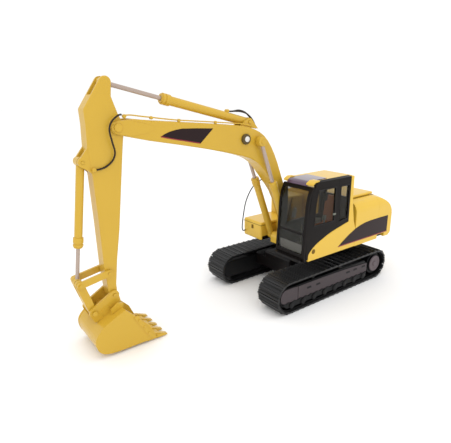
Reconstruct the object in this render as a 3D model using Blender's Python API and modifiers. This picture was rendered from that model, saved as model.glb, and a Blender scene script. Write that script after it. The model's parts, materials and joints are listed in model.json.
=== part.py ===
"""Scale model crawler excavator, 1:50, as an assembly of separate named parts.

Machine frame, in millimetres: X forwards, Y to the cab side, Z up, with the slew axis
standing at X = Y = 0 and the track soles at Z = 0. Every moving group hangs from an
empty on its joint. The last step slides the whole model so that the middle of its
footprint lies at the world's origin.
"""
import math

import bmesh
import bpy
import numpy as np
from mathutils import Matrix, Vector

MM = 0.001
FIT = 0.08            # gap between pieces that are fixed to each other
RUN = 0.2             # gap between pieces that move past each other
PIN_RUN = 0.06        # gap round a pin that turns in its eye

# ---------------------------------------------------------------- driving dimensions
# undercarriage
IDLER_X = 31.1
SPROCKET_X = -31.5
TRACK_R = 7.9          # over the grousers
GAUGE = 40.3           # between the track centres
SHOE_WIDTH = 13.3
SHOE_COUNT = 50
GROUSER = 0.45
BELT = 1.9             # from the grouser tips to the inside of the belt
FRAME_OUT = 5.3        # track centre to the frame's outer face
FRAME_IN = 5.0         # track centre to the frame's inner face
HUB_R = 4.5
CARBODY_TOP = 17.6
CARBODY_BOTTOM = 7.0
CARBODY_LEG_X = 12.5
CARBODY_LEG = 6.0

# superstructure
DECK_Z = 21.1
DECK = 2.0
HOUSE_HALF = 24.5
HOUSE_TOP = 43.5
HOUSE_FRONT = -14.6    # rear of the cab side panel
HOUSE_REAR = -33.0     # front of the counterweight
TAIL_R = 51.0
CROWN = (16.0, 10.8)      # reach of the tail's rounded top, inwards and down
SHOULDER = 5.5
ARM_Y = -2.0           # centre plane of boom, stick and bucket

# cab
CAB_RIGHT = 6.4
CAB_FRONT = 20.3
CAB_REAR = -10.4
CAB_ROOF = 57.3
CAB_WALL = 1.1
ROOF = 1.6
SILL = 36.8            # lower edge of the side windows

# boom
BOOM_W = 8.4
BOOM_FOOT = (5.6, 31.4)
BOOM_TIP = (93.8, 83.8)
BOOM_EAR = 1.0
FOOT_PIN_R = 1.1
TIP_PIN_R = 0.9

# boom cylinders
BOOM_CYL_FOOT = (10.7, 23.9)
BOOM_CYL_EYE = (29.7, 74.3)
BOOM_CYL_Y = 6.3      # from the arm plane
BOOM_CYL_R = 1.7
BOOM_ROD_R = 0.85
BOOM_CYL_LENGTH = 33.5

# stick and its cylinder
STICK_W = 6.0
STICK_CYL_FOOT = (33.4, 82.7)
STICK_CYL_EYE = (96.4, 99.0)
STICK_CYL_R = 1.8
STICK_ROD_R = 0.85
STICK_CYL_LENGTH = 42.5

# bucket linkage
BUCKET_CYL_FOOT = (106.9, 72.8)
GUIDE_PIVOT = (102.0, 30.9)
GUIDE_PIN = (113.1, 28.9)
POWER_PIN = (109.3, 16.7)
BUCKET_PIN = (101.0, 21.7)
BUCKET_CYL_R = 1.45
BUCKET_ROD_R = 0.7
BUCKET_CYL_LENGTH = 31.0
LINK_PIN_R = 0.6
FORK_GAP = 2.6          # between the power link's upper arms

# bucket
BUCKET_W = 20.4
BUCKET_WALL = 0.8
TEETH = 5

# ---------------------------------------------------------------- colours
PAINT = {
    'yellow': ((0.83, 0.55, 0.06), 0.35, 0.0),
    'arm_yellow': ((0.70, 0.46, 0.08), 0.38, 0.0),
    'black': ((0.03, 0.027, 0.025), 0.45, 0.0),
    'track': ((0.02, 0.02, 0.022), 0.5, 0.0),
    'track_frame': ((0.07, 0.055, 0.055), 0.5, 0.0),
    'rod': ((0.55, 0.47, 0.43), 0.25, 1.0),
    'glass': ((0.25, 0.24, 0.2), 0.05, 0.0),
    'hatch': ((0.16, 0.1, 0.15), 0.1, 0.0),
    'interior': ((0.09, 0.08, 0.075), 0.6, 0.0),
    'hose': ((0.05, 0.03, 0.025), 0.5, 0.0),
    'wire': ((0.03, 0.03, 0.03), 0.4, 0.0),
    'lamp': ((0.8, 0.8, 0.78), 0.2, 0.0),
    'grey': ((0.3, 0.3, 0.28), 0.5, 0.0),
}

# Each body hangs from an empty on its joint: name, parent, joint (x, y, z).
BODIES = {
    'undercarriage': (None, (0, 0, 0)),
    'superstructure': ('undercarriage', (0, 0, DECK_Z)),
    'boom': ('superstructure', (BOOM_FOOT[0], ARM_Y, BOOM_FOOT[1])),
    'boom_cylinders': ('superstructure', (BOOM_CYL_FOOT[0], ARM_Y, BOOM_CYL_FOOT[1])),
    'boom_rods': ('boom_cylinders', (BOOM_CYL_EYE[0], ARM_Y, BOOM_CYL_EYE[1])),
    'stick': ('boom', (BOOM_TIP[0], ARM_Y, BOOM_TIP[1])),
    'stick_cylinder': ('boom', (STICK_CYL_FOOT[0], ARM_Y, STICK_CYL_FOOT[1])),
    'stick_rod': ('stick_cylinder', (STICK_CYL_EYE[0], ARM_Y, STICK_CYL_EYE[1])),
    'bucket_cylinder': ('stick', (BUCKET_CYL_FOOT[0], ARM_Y, BUCKET_CYL_FOOT[1])),
    'bucket_rod': ('bucket_cylinder', (GUIDE_PIN[0], ARM_Y, GUIDE_PIN[1])),
    'guide_links': ('stick', (GUIDE_PIVOT[0], ARM_Y, GUIDE_PIVOT[1])),
    'power_link': ('guide_links', (GUIDE_PIN[0], ARM_Y, GUIDE_PIN[1])),
    'bucket': ('stick', (BUCKET_PIN[0], ARM_Y, BUCKET_PIN[1])),
}


# ---------------------------------------------------------------- scene and helpers
for old in list(bpy.data.objects):
    bpy.data.objects.remove(old, do_unlink=True)

model = bpy.data.collections.new('crawler_excavator')
cutters = bpy.data.collections.new('cutters')
bpy.context.scene.collection.children.link(model)
bpy.context.scene.collection.children.link(cutters)
materials = {}
empties = {}


def paint(name):
    """The Principled material of one colour."""
    if name not in materials:
        colour, roughness, metallic = PAINT[name]
        made = bpy.data.materials.new(name)
        made.use_nodes = True
        shader = made.node_tree.nodes['Principled BSDF']
        shader.inputs['Base Color'].default_value = (*colour, 1)
        shader.inputs['Roughness'].default_value = roughness
        shader.inputs['Metallic'].default_value = metallic
        materials[name] = made
    return materials[name]


def into(collection, obj):
    """Moves an object into one collection only."""
    for other in obj.users_collection:
        other.objects.unlink(obj)
    collection.objects.link(obj)
    return obj


def arc(cx, cz, radius, start, end, steps):
    """Points along an arc, angles in degrees, both ends included."""
    angles = np.radians(np.linspace(start, end, steps + 1))
    return [(cx + radius * math.cos(a), cz + radius * math.sin(a)) for a in angles]


def smooth(points, steps=4):
    """Points along a Catmull-Rom curve through the given ones."""
    p = [Vector(q) for q in points]
    p = [2 * p[0] - p[1], *p, 2 * p[-1] - p[-2]]
    out = []
    for a, b, c, d in zip(p, p[1:], p[2:], p[3:]):
        for i in range(steps):
            t = i / steps
            out.append(tuple(0.5 * (2 * b + (c - a) * t + (2 * a - 5 * b + 4 * c - d) * t ** 2
                                    + (3 * b - a - 3 * c + d) * t ** 3)))
    return [*out, tuple(points[-1])]


def along(p, q, distance, side=0.0):
    """The point at a distance from p towards q, moved sideways to the left of that way."""
    p, q = Vector(p), Vector(q)
    way = (q - p).normalized()
    return tuple(p + way * distance + Vector((-way.y, way.x)) * side)


def flat(name, rings, depth, plane, at):
    """A flat outline, with holes, filled and extruded evenly about `at` on its third axis."""
    curve = bpy.data.curves.new(name, 'CURVE')
    curve.dimensions = '2D'
    curve.fill_mode = 'BOTH'
    curve.extrude = depth / 2 * MM
    for ring in rings:
        spline = curve.splines.new('POLY')
        spline.points.add(len(ring) - 1)
        for point, (u, v) in zip(spline.points, ring):
            point.co = (u * MM, v * MM, 0, 1)
        spline.use_cyclic_u = True
    turn = {'XY': Matrix(), 'XZ': Matrix.Rotation(math.pi / 2, 4, 'X'),
            'YZ': Matrix.Rotation(math.pi / 2, 4, 'Z') @ Matrix.Rotation(math.pi / 2, 4, 'X')}[plane]
    third = {'XY': Vector((0, 0, at)), 'XZ': Vector((0, at, 0)), 'YZ': Vector((at, 0, 0))}[plane]
    return solid(name, curve, Matrix.Translation(third * MM) @ turn)


def solid(name, curve, matrix):
    """Turns a curve into one closed mesh object, its caps welded to its sides."""
    wire = bpy.data.objects.new(name + '_curve', curve)
    model.objects.link(wire)
    bpy.context.view_layer.update()
    mesh = bpy.data.meshes.new_from_object(wire.evaluated_get(bpy.context.evaluated_depsgraph_get()))
    bpy.data.objects.remove(wire, do_unlink=True)
    mesh.transform(matrix)
    work = bmesh.new()
    work.from_mesh(mesh)
    bmesh.ops.remove_doubles(work, verts=work.verts, dist=1e-7)
    if curve.dimensions == '2D' and len(curve.splines) == 1:
        bmesh.ops.dissolve_limit(work, angle_limit=math.radians(0.5), verts=work.verts, edges=work.edges)
    bmesh.ops.recalc_face_normals(work, faces=work.faces)
    work.to_mesh(mesh)
    work.free()
    obj = bpy.data.objects.new(name, mesh)
    model.objects.link(obj)
    return obj


def tube(name, points, radius, sides=8):
    """A round wire along a smooth way through the points, with filled ends."""
    curve = bpy.data.curves.new(name, 'CURVE')
    curve.dimensions = '3D'
    curve.bevel_depth = radius * MM
    curve.bevel_resolution = sides // 4
    curve.use_fill_caps = True
    way = smooth(points, 5)
    spline = curve.splines.new('POLY')
    spline.points.add(len(way) - 1)
    for point, place in zip(spline.points, way):
        point.co = (*(Vector(place) * MM), 1)
    return solid(name, curve, Matrix())


def box(name, low, high):
    """A box between two corners."""
    bpy.ops.mesh.primitive_cube_add(size=1)
    obj = into(model, bpy.context.object)
    obj.name = name
    low, high = Vector(low) * MM, Vector(high) * MM
    obj.data.transform(Matrix.Translation((low + high) / 2) @ Matrix.Diagonal((*(high - low), 1)))
    return obj


def disc(name, radius, y0, y1, at, sides=20, axis='Y'):
    """A cylinder about the Y axis (or Z) through at = (x, z), or (x, y) about Z."""
    bpy.ops.mesh.primitive_cylinder_add(vertices=sides, radius=radius * MM, depth=(y1 - y0) * MM)
    obj = into(model, bpy.context.object)
    obj.name = name
    if axis == 'Y':
        obj.data.transform(Matrix.Translation(Vector((at[0], (y0 + y1) / 2, at[1])) * MM)
                           @ Matrix.Rotation(math.pi / 2, 4, 'X'))
    else:
        obj.data.transform(Matrix.Translation(Vector((at[0], at[1], (y0 + y1) / 2)) * MM))
    return obj


def turned(name, profile, start, end, steps):
    """A profile of (radius, z) points swept about the upright axis between two angles, in degrees."""
    work = bmesh.new()
    angles = [math.radians(start + (end - start) * i / steps) for i in range(steps + 1)]
    rings = [[work.verts.new((r * math.cos(a) * MM, r * math.sin(a) * MM, z * MM)) for r, z in profile]
             for a in angles]
    for one, two in zip(rings, rings[1:]):
        for i in range(len(profile)):
            j = (i + 1) % len(profile)
            work.faces.new((one[i], one[j], two[j], two[i]))
    work.faces.new(rings[0])
    work.faces.new(rings[-1])
    bmesh.ops.recalc_face_normals(work, faces=work.faces)
    mesh = bpy.data.meshes.new(name)
    work.to_mesh(mesh)
    work.free()
    obj = bpy.data.objects.new(name, mesh)
    model.objects.link(obj)
    return obj


def bar(name, radius, p, q, y, sides=16):
    """A cylinder from p to q, both (x, z), in the plane y."""
    p, q = Vector((p[0], y, p[1])) * MM, Vector((q[0], y, q[1])) * MM
    bpy.ops.mesh.primitive_cylinder_add(vertices=sides, radius=radius * MM, depth=(q - p).length)
    obj = into(model, bpy.context.object)
    obj.name = name
    obj.data.transform(Matrix.Translation((p + q) / 2) @ (q - p).to_track_quat('Z', 'Y').to_matrix().to_4x4())
    return obj


def fuse(obj, other, operation='UNION'):
    """Joins another shape to an object, or cuts it out, with a Boolean modifier."""
    into(cutters, other)
    other.hide_render = True
    other.display_type = 'WIRE'
    step = obj.modifiers.new(operation.lower() + '_' + other.name, 'BOOLEAN')
    step.operation = operation
    step.object = other
    step.solver = 'EXACT'
    return obj


def cut(obj, other):
    """Cuts another shape out of an object."""
    return fuse(obj, other, 'DIFFERENCE')


def ease(obj, width, segments=2, angle=30):
    """Rounds an object's edges."""
    step = obj.modifiers.new('ease', 'BEVEL')
    step.width = width * MM
    step.segments = segments
    step.limit_method = 'ANGLE'
    step.angle_limit = math.radians(angle)
    step.use_clamp_overlap = True
    return obj


def place(obj, body, colour):
    """Hangs a finished piece, and its cutters, from its body's empty."""
    here = empties[body].matrix_world.translation
    obj.parent = empties[body]
    obj.location = -here
    obj.data.materials.clear()
    obj.data.materials.append(paint(colour))
    obj.data.shade_smooth()
    obj.data.set_sharp_from_angle(angle=math.radians(35))
    for step in obj.modifiers:
        if step.type == 'BOOLEAN':
            follow(step.object, body)
    return obj


def follow(cutter, body):
    """Hangs a cutter, and the cutters that shape it, from the same empty."""
    cutter.parent = empties[body]
    cutter.location = -empties[body].matrix_world.translation
    for step in cutter.modifiers:
        if step.type == 'BOOLEAN':
            follow(step.object, body)


for body, (parent, joint) in BODIES.items():
    pivot = bpy.data.objects.new(body + '_joint', None)
    pivot.empty_display_size = 5 * MM
    model.objects.link(pivot)
    if parent:
        pivot.parent = empties[parent]
        pivot.location = (Vector(joint) - Vector(BODIES[parent][1])) * MM
    empties[body] = pivot
    bpy.context.view_layer.update()


# ---------------------------------------------------------------- undercarriage
def belt_point(travel, out):
    """A point at a travel along the belt's pitch line, moved outwards by `out`."""
    pitch_r = TRACK_R - GROUSER
    run = IDLER_X - SPROCKET_X
    half = math.pi * pitch_r
    travel %= 2 * (run + half)
    r = pitch_r + out
    if travel < run:
        return SPROCKET_X + travel, TRACK_R + r
    travel -= run
    if travel < half:
        a = math.pi / 2 - travel / pitch_r
        return IDLER_X + r * math.cos(a), TRACK_R + r * math.sin(a)
    travel -= half
    if travel < run:
        return IDLER_X - travel, TRACK_R - r
    a = -math.pi / 2 - (travel - run) / pitch_r
    return SPROCKET_X + r * math.cos(a), TRACK_R + r * math.sin(a)


def track(side, name):
    """The endless belt of shoes, with one grouser standing on each shoe."""
    y = side * GAUGE / 2
    length = 2 * (IDLER_X - SPROCKET_X) + 2 * math.pi * (TRACK_R - GROUSER)
    pitch = length / SHOE_COUNT
    outer = []
    for i in range(SHOE_COUNT):
        for share, out in ((0.06, 0), (0.30, 0), (0.38, GROUSER), (0.58, GROUSER), (0.66, 0), (0.94, 0)):
            outer.append(belt_point((i + share) * pitch, out))
        outer.append(belt_point((i + 1) * pitch, -0.25))
    inner_r = TRACK_R - BELT
    inner = (arc(IDLER_X, TRACK_R, inner_r, 90, -90, 20)
             + arc(SPROCKET_X, TRACK_R, inner_r, -90, -270, 20))
    belt = flat(name, [outer, inner], SHOE_WIDTH, 'XZ', y)
    return place(belt, 'undercarriage', 'track')


def track_frame(side, name):
    """The long side frame inside the belt: plate, front block and roller covers."""
    inner_r = TRACK_R - BELT
    y0, y1 = sorted((side * (GAUGE / 2 + FRAME_OUT), side * (GAUGE / 2 - FRAME_IN)))
    top, bottom = 11.6, 2.9
    nose = arc(IDLER_X, TRACK_R, inner_r - FIT - 0.4, -50, 50, 6)
    outline = [(SPROCKET_X + 8.6, top), (SPROCKET_X + 6.4, top - 2.2), (SPROCKET_X + 6.4, bottom + 1.6),
               (SPROCKET_X + 8.0, bottom)]
    outline += [*nose]
    frame = flat(name, [outline], y1 - y0, 'XZ', (y0 + y1) / 2)
    ease(frame, 0.25, 1)
    return place(frame, 'undercarriage', 'track_frame')


def sprocket(side, name):
    """The plain drive wheel at the rear, with its round hub cover."""
    y = side * GAUGE / 2
    inner_r = TRACK_R - BELT
    wheel = disc(name, inner_r - FIT - 0.3, y - 4.6, y + 4.6, (SPROCKET_X, TRACK_R), 32)
    y0, y1 = sorted((y, side * (GAUGE / 2 + 5.2)))
    fuse(wheel, disc(name + '_hub', HUB_R, y0, y1, (SPROCKET_X, TRACK_R), 32))
    return place(wheel, 'undercarriage', 'track_frame')


def carbody():
    """The centre frame: a box with four legs to the track frames, and a round top."""
    reach = GAUGE / 2 - FRAME_IN - FIT
    x, w = CARBODY_LEG_X, CARBODY_LEG / 2
    body = box('carbody', (-x - w + 1, -9.5, CARBODY_BOTTOM), (x + w - 1, 9.5, CARBODY_TOP - 2))
    ease(body, 0.8, 1)
    for i, leg in enumerate((-x, x)):
        section = [(leg - w, CARBODY_BOTTOM + 0.5), (leg + w, CARBODY_BOTTOM + 0.5),
                   (leg + w - 1.0, 12.3), (leg - w + 1.0, 12.3)]
        fuse(body, flat(f'leg_{i}', [section], 2 * reach, 'XZ', 0))
    fuse(body, disc('turntable_flange', 11.0, CARBODY_TOP - 3, CARBODY_TOP, (0, 0), 32, 'Z'))
    return place(body, 'undercarriage', 'black')


def slew_ring():
    """The round bearing between the carbody and the deck."""
    ring = disc('slew_ring', 10.0, CARBODY_TOP + FIT, DECK_Z - RUN, (0, 0), 32, 'Z')
    return place(ring, 'undercarriage', 'black')


for side, word in ((1, 'left'), (-1, 'right')):
    track(side, 'track_' + word)
    track_frame(side, 'track_frame_' + word)
    sprocket(side, 'drive_wheel_' + word)
carbody()
slew_ring()


# ---------------------------------------------------------------- superstructure
WELL = (ARM_Y - 8.5, ARM_Y + 8.0)      # the arm's well between cab and tanks
EYE_R = 2.6
DECK_HALF = 22.9
DECK_NOTCH = 8.0        # front edge of the deck in the arm's well
CHEEK = 1.1
CYL_PIN_R = 0.7
BOX_FRONT = 16.2
BOX_TOP = 30.6
TANK_FRONT = -3.0
TANK_TOP = 41.5


def deck():
    """The floor frame that everything above the slew ring stands on."""
    front = CAB_FRONT - 0.6
    plan = [(HOUSE_REAR - 6, -DECK_HALF), (BOX_FRONT - 1.0, -DECK_HALF), (BOX_FRONT - 1.0, WELL[0] - RUN),
            (DECK_NOTCH, WELL[0] - RUN), (DECK_NOTCH, CAB_RIGHT - RUN), (front, CAB_RIGHT - RUN), (front, DECK_HALF),
            (HOUSE_REAR - 6, DECK_HALF)]
    plate = flat('deck', [plan], DECK, 'XY', DECK_Z + DECK / 2)
    ease(plate, 0.3, 1)
    return place(plate, 'superstructure', 'yellow')


def boom_tower():
    """The two upright cheeks that carry the boom's foot and the cylinders' feet."""
    base = DECK_Z + DECK + FIT
    x, z = BOOM_FOOT
    fx, fz = BOOM_CYL_FOOT
    inner = BOOM_W / 2 + RUN
    cheek = [(-9, base), (x + 2.4, base), *arc(x, z, EYE_R, -20, 150, 8), (-7, base + 3)]
    front = fx + 2.4
    lug = [(x - 4, base), (DECK_NOTCH + FIT, base), (DECK_NOTCH + FIT, DECK_Z), (front, DECK_Z), (front, fz),
           *arc(fx, fz, 2.4, 0, 120, 5), (x, base + 1.5), (x - 4, base + 1.5)]
    tower = flat('boom_tower', [lug], 2 * inner - 0.02, 'XZ', ARM_Y)
    low, high = (x - 6, ARM_Y - inner - 0.5, base), (DECK_NOTCH - 0.4, ARM_Y + inner + 0.5, base + 0.9)
    fuse(tower, box('tower_floor', low, high))
    for edge in (-1, 1):
        fuse(tower, flat('cheek', [cheek], CHEEK, 'XZ', ARM_Y + edge * (inner + CHEEK / 2)))
    reach = inner + CHEEK + 1
    cut(tower, disc('foot_bore', FOOT_PIN_R + FIT, ARM_Y - reach, ARM_Y + reach, BOOM_FOOT, 16))
    cut(tower, disc('cylinder_bore', CYL_PIN_R + FIT, ARM_Y - reach, ARM_Y + reach, BOOM_CYL_FOOT, 16))
    return place(tower, 'superstructure', 'yellow')


def boom_foot_pin():
    """The pin through the cheeks and the boom's foot, held by the cheeks."""
    half = BOOM_W / 2 + RUN + CHEEK + 0.2
    pin = disc('boom_foot_pin', FOOT_PIN_R, ARM_Y - half, ARM_Y + half, BOOM_FOOT, 16)
    return place(pin, 'superstructure', 'rod')


def cylinder_foot_pin():
    """The pin through the front lug that both boom cylinders turn on."""
    half = BOOM_CYL_Y + 1.25
    pin = disc('boom_cylinder_pin', CYL_PIN_R, ARM_Y - half, ARM_Y + half, BOOM_CYL_FOOT, 16)
    return place(pin, 'superstructure', 'rod')


def house():
    """The engine housing: a wide box with rounded shoulders over the deck's edges."""
    h, lip, base = HOUSE_HALF, HOUSE_HALF - DECK_HALF - FIT, DECK_Z + DECK + FIT
    section = [(-h, DECK_Z), (-h + lip, DECK_Z), (-h + lip, base), (h - lip, base), (h - lip, DECK_Z), (h, DECK_Z)]
    section += arc(h - SHOULDER, HOUSE_TOP - SHOULDER, SHOULDER, 0, 90, 6)
    section += arc(-h + SHOULDER, HOUSE_TOP - SHOULDER, SHOULDER, 90, 180, 6)
    length = HOUSE_FRONT - HOUSE_REAR
    body = flat('engine_housing', [section], length, 'YZ', HOUSE_REAR + length / 2)
    return place(body, 'superstructure', 'yellow')


def hood():
    """The low raised engine lid on top of the housing."""
    z0, z1, reach = HOUSE_TOP + FIT, HOUSE_TOP + 1.5, 18.5
    lid = box('engine_hood', (HOUSE_REAR - 2.0, -reach, z0), (HOUSE_FRONT - 1.0, reach, z1))
    ease(lid, 0.9, 3)
    return place(lid, 'superstructure', 'yellow')


def counterweight():
    """The heavy tail: turned about the slewing axis, under the housing's rounded shoulders."""
    z0, z1 = DECK_Z, HOUSE_TOP
    steps = [math.radians(90 * i / 10) for i in range(11)]
    crown = [(TAIL_R - CROWN[0] * (1 - math.cos(t)), z1 - CROWN[1] * (1 - math.sin(t))) for t in steps]
    profile = [(TAIL_R - 1.6, z0), (TAIL_R, z0 + 1.6), *crown, (HOUSE_HALF - 8, z1 + 0.05), (HOUSE_HALF - 8, z0)]
    mass = turned('counterweight', profile, 100, 260, 40)
    h, r = HOUSE_HALF, SHOULDER
    section = [(-h, z0 - 1), (h, z0 - 1), *arc(h - r, z1 - r, r, 0, 90, 6), *arc(-h + r, z1 - r, r, 90, 180, 6)]
    front = HOUSE_REAR - FIT
    fuse(mass, flat('shoulders', [section], 30, 'YZ', front - 15), 'INTERSECT')
    cut(mass, box('deck_room', (HOUSE_REAR - 6 - FIT, -60, z0 - 1), (0, 60, z0 + DECK + FIT)))
    return place(mass, 'superstructure', 'yellow')


def side_box():
    """The storage box at the right front."""
    base = DECK_Z + DECK + FIT
    crate = box('storage_box', (TANK_FRONT + FIT, -HOUSE_HALF, DECK_Z), (BOX_FRONT, WELL[0], BOX_TOP))
    ease(crate, 0.8, 3)
    low, high = (TANK_FRONT - 5, -DECK_HALF - FIT, DECK_Z - 5), (BOX_FRONT - 1.0 + FIT, WELL[0] + 5, base)
    cut(crate, box('box_seat', low, high))
    return place(crate, 'superstructure', 'yellow')


def tank():
    """The fuel and oil tank behind the storage box."""
    base = DECK_Z + DECK + FIT
    crate = box('tank', (HOUSE_FRONT + FIT, -HOUSE_HALF, DECK_Z), (TANK_FRONT, WELL[0], TANK_TOP))
    ease(crate, 1.0, 3)
    low, high = (HOUSE_FRONT - 5, -DECK_HALF - FIT, DECK_Z - 5), (TANK_FRONT + 5, WELL[0] + 5, base)
    cut(crate, box('tank_seat', low, high))
    return place(crate, 'superstructure', 'yellow')


deck()
boom_tower()
boom_foot_pin()
cylinder_foot_pin()
house()
hood()
counterweight()
side_box()
tank()


# ---------------------------------------------------------------- cab
FLOOR_Z = DECK_Z + DECK + FIT
HEAD_Z = 55.6                       # underside of the roof
PANEL_Y = HOUSE_HALF - CAB_WALL     # inner face of the left wall
GLASS = 0.5
MULLION = (33.4, 34.6)              # the bar across the windscreen
FRONT = smooth([(21.2, DECK_Z + 0.4), (21.1, 30), (20.2, 43), (18.7, 52.2), (17.3, 55.2)], 5)
SWOOSH = smooth([(18.7, 22.2), (18.2, 25.0), (14.6, 28.0), (10.6, 29.9), (4.4, 32.2), (-2.6, 33.9), (-8.6, 35.2)], 4)


def offset(points, distance):
    """A line of points moved sideways, to the left of its way."""
    p = [Vector(q) for q in points]
    ways = [(b - a).normalized() for a, b in zip(p, p[1:])]
    ways = [ways[0], *[(a + b).normalized() for a, b in zip(ways, ways[1:])], ways[-1]]
    return [tuple(q + Vector((-w.y, w.x)) * distance) for q, w in zip(p, ways)]


def strip(points, thickness, start=0.0):
    """A band of even thickness behind a line of points, as a closed outline."""
    return offset(points, start) + offset(points, start + thickness)[::-1]


def shrink(low, high, gap):
    """A rectangle between two corners, taken in by a gap on every side."""
    (a, b), (c, d) = low, high
    return [(a + gap, b + gap), (c - gap, b + gap), (c - gap, d - gap), (a + gap, d - gap)]


DOOR_WINDOW = [(15.6, 37.4), (15.0, 46.0), (13.6, 53.4), (2.0, 53.4), (2.0, 37.4)]
QUARTER_WINDOW = [(-1.6, 36.2), (-1.6, 53.4), (-7.4, 53.4), (-7.4, 37.0)]
WINDSCREEN_Y = (CAB_RIGHT + 1.7, HOUSE_HALF - 1.7)
UPPER_Z = (MULLION[1], 53.2)
LOWER_Z = (25.6, MULLION[0])
RIGHT_WINDOW = ((-7.4, 35.5), (15.5, 53.4))
REAR_WINDOW = ((9.0, 46.6), (21.6, 53.4))
DOOR_SPLIT = 0.2


def inset(outline, gap):
    """An outline taken in by a gap, for a pane that sits in its hole."""
    p = [Vector(q) for q in outline]
    middle = sum(p, Vector((0, 0))) / len(p)
    area = sum(a.x * b.y - b.x * a.y for a, b in zip(p, p[1:] + p[:1]))
    turn = 1 if area > 0 else -1
    out = []
    for a, b, c in zip(p[-1:] + p[:-1], p, p[1:] + p[:1]):
        w0, w1 = (b - a).normalized(), (c - b).normalized()
        n0, n1 = Vector((-w0.y, w0.x)) * turn, Vector((-w1.y, w1.x)) * turn
        mitre = (n0 + n1).normalized()
        out.append(tuple(b + mitre * gap / max(mitre.dot(n0), 0.3)))
    return out


def cab_side(name, low_x, high_x, windows):
    """One leaf of the black left wall, above the swoosh, between two X values."""
    y = HOUSE_HALF - CAB_WALL / 2
    top = HEAD_Z + 1.4
    leaf = [q for q in offset(FRONT, CAB_WALL + FIT) if q[1] > 24.0]
    leaf = [*SWOOSH, (-8.6, top), (14.2, top), *leaf[::-1], (SWOOSH[0][0] + 1.2, SWOOSH[0][1])]
    wall = flat(name, [leaf, *windows], CAB_WALL, 'XZ', y)
    keep = box(name + '_reach', (low_x, y - 2, 0), (high_x, y + 2, 80))
    fuse(wall, keep, 'INTERSECT')
    return place(wall, 'superstructure', 'black')


def cab_side_panel():
    """The yellow panel under the swoosh, with the rear pillar rising from it."""
    y = HOUSE_HALF - CAB_WALL / 2
    low = [(q[0] - 0.05, q[1] - FIT - 0.05) for q in SWOOSH]
    outline = [(SWOOSH[0][0] - 0.1, DECK_Z), *low, (-8.6 - FIT, 40.0), (-8.6 - FIT, CAB_ROOF - 0.2),
               (CAB_REAR - 0.4, CAB_ROOF - 0.2),
               (CAB_REAR - 0.6, 45.0), (-12.9, 34.6), (HOUSE_FRONT + FIT, 30.6), (HOUSE_FRONT + FIT, DECK_Z)]
    panel = flat('cab_side_panel', [outline], CAB_WALL, 'XZ', y)
    ease(panel, 0.2, 1)
    return place(panel, 'superstructure', 'yellow')


def front_frame():
    """The windscreen's surround: a curved band across the cab with two openings."""
    y0, y1 = CAB_RIGHT, HOUSE_HALF
    frame = flat('windscreen_frame', [strip(FRONT, CAB_WALL)], y1 - y0, 'XZ', (y0 + y1) / 2)
    for (z0, z1), name in ((UPPER_Z, 'upper'), (LOWER_Z, 'lower')):
        cut(frame, box(name + '_opening', (14, WINDSCREEN_Y[0], z0), (24, WINDSCREEN_Y[1], z1)))
    return place(frame, 'superstructure', 'black')


def windscreen(name, span):
    """One pane of the windscreen, in its opening."""
    y0, y1 = WINDSCREEN_Y[0] + FIT, WINDSCREEN_Y[1] - FIT
    pane = flat(name, [strip(FRONT, GLASS, 0.3)], y1 - y0, 'XZ', (y0 + y1) / 2)
    fuse(pane, box(name + '_reach', (14, y0 - 1, span[0] + FIT), (24, y1 + 1, span[1] - FIT)), 'INTERSECT')
    return place(pane, 'superstructure', 'glass')


def right_wall():
    """The cab's right wall with its window."""
    y = CAB_RIGHT + CAB_WALL / 2
    front = [q for q in offset(FRONT, CAB_WALL + FIT) if q[1] > FLOOR_Z + 1][::-1]
    rear = CAB_REAR + CAB_WALL + FIT
    outline = [(rear, HEAD_Z), (14.2, HEAD_Z), *front, (front[-1][0], FLOOR_Z), (rear, FLOOR_Z)]
    wall = flat('cab_right_wall', [outline, shrink(*RIGHT_WINDOW, 0)], CAB_WALL, 'XZ', y)
    return place(wall, 'superstructure', 'black')


def rear_wall():
    """The cab's rear wall with its window above the hood."""
    y0, y1 = CAB_RIGHT, PANEL_Y - FIT
    outline = [(y0, FLOOR_Z), (y1, FLOOR_Z), (y1, HEAD_Z), (y0, HEAD_Z)]
    wall = flat('cab_rear_wall', [outline, shrink(*REAR_WINDOW, 0)], CAB_WALL, 'YZ', CAB_REAR + CAB_WALL / 2)
    return place(wall, 'superstructure', 'yellow')


def pane(name, outline, plane, at):
    """A flat pane in its hole."""
    return place(flat(name, [inset(outline, FIT)], GLASS, plane, at), 'superstructure', 'glass')


def roof():
    """The roof slab, dropping to two visor corners beside the hatch."""
    y0, y1 = CAB_RIGHT, PANEL_Y - FIT
    side = [(CAB_REAR, HEAD_Z + FIT), (14.0, HEAD_Z + FIT), (16.6, HEAD_Z + FIT), (16.2, 56.6), (13.6, CAB_ROOF), (CAB_REAR, CAB_ROOF)]
    slab = flat('cab_roof', [side], y1 - y0, 'XZ', (y0 + y1) / 2)
    hatch = [(5.0, CAB_ROOF - 0.9), (30, CAB_ROOF - 0.9), (30, 70), (5.0, 70)]
    cut(slab, flat('hatch_seat', [hatch], 13.4, 'XZ', (y0 + y1) / 2))
    return place(slab, 'superstructure', 'yellow')


def roof_hatch():
    """The tinted hatch in the roof's front half."""
    y0, y1 = CAB_RIGHT, PANEL_Y - FIT
    side = [(5.0 + FIT, CAB_ROOF - 0.9 + FIT), (15.6, CAB_ROOF - 0.9 + FIT), (15.4, CAB_ROOF - 0.4), (13.2, CAB_ROOF + 0.5), (5.6, CAB_ROOF + 0.5)]
    lid = flat('roof_hatch', [side], 13.4 - 2 * FIT, 'XZ', (y0 + y1) / 2)
    return place(lid, 'superstructure', 'hatch')


CAB_MID = (CAB_RIGHT + PANEL_Y) / 2
FLOOR_TOP = FLOOR_Z + 0.9
CONSOLE_UP = 10.2
LEVER_R = 0.45


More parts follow.
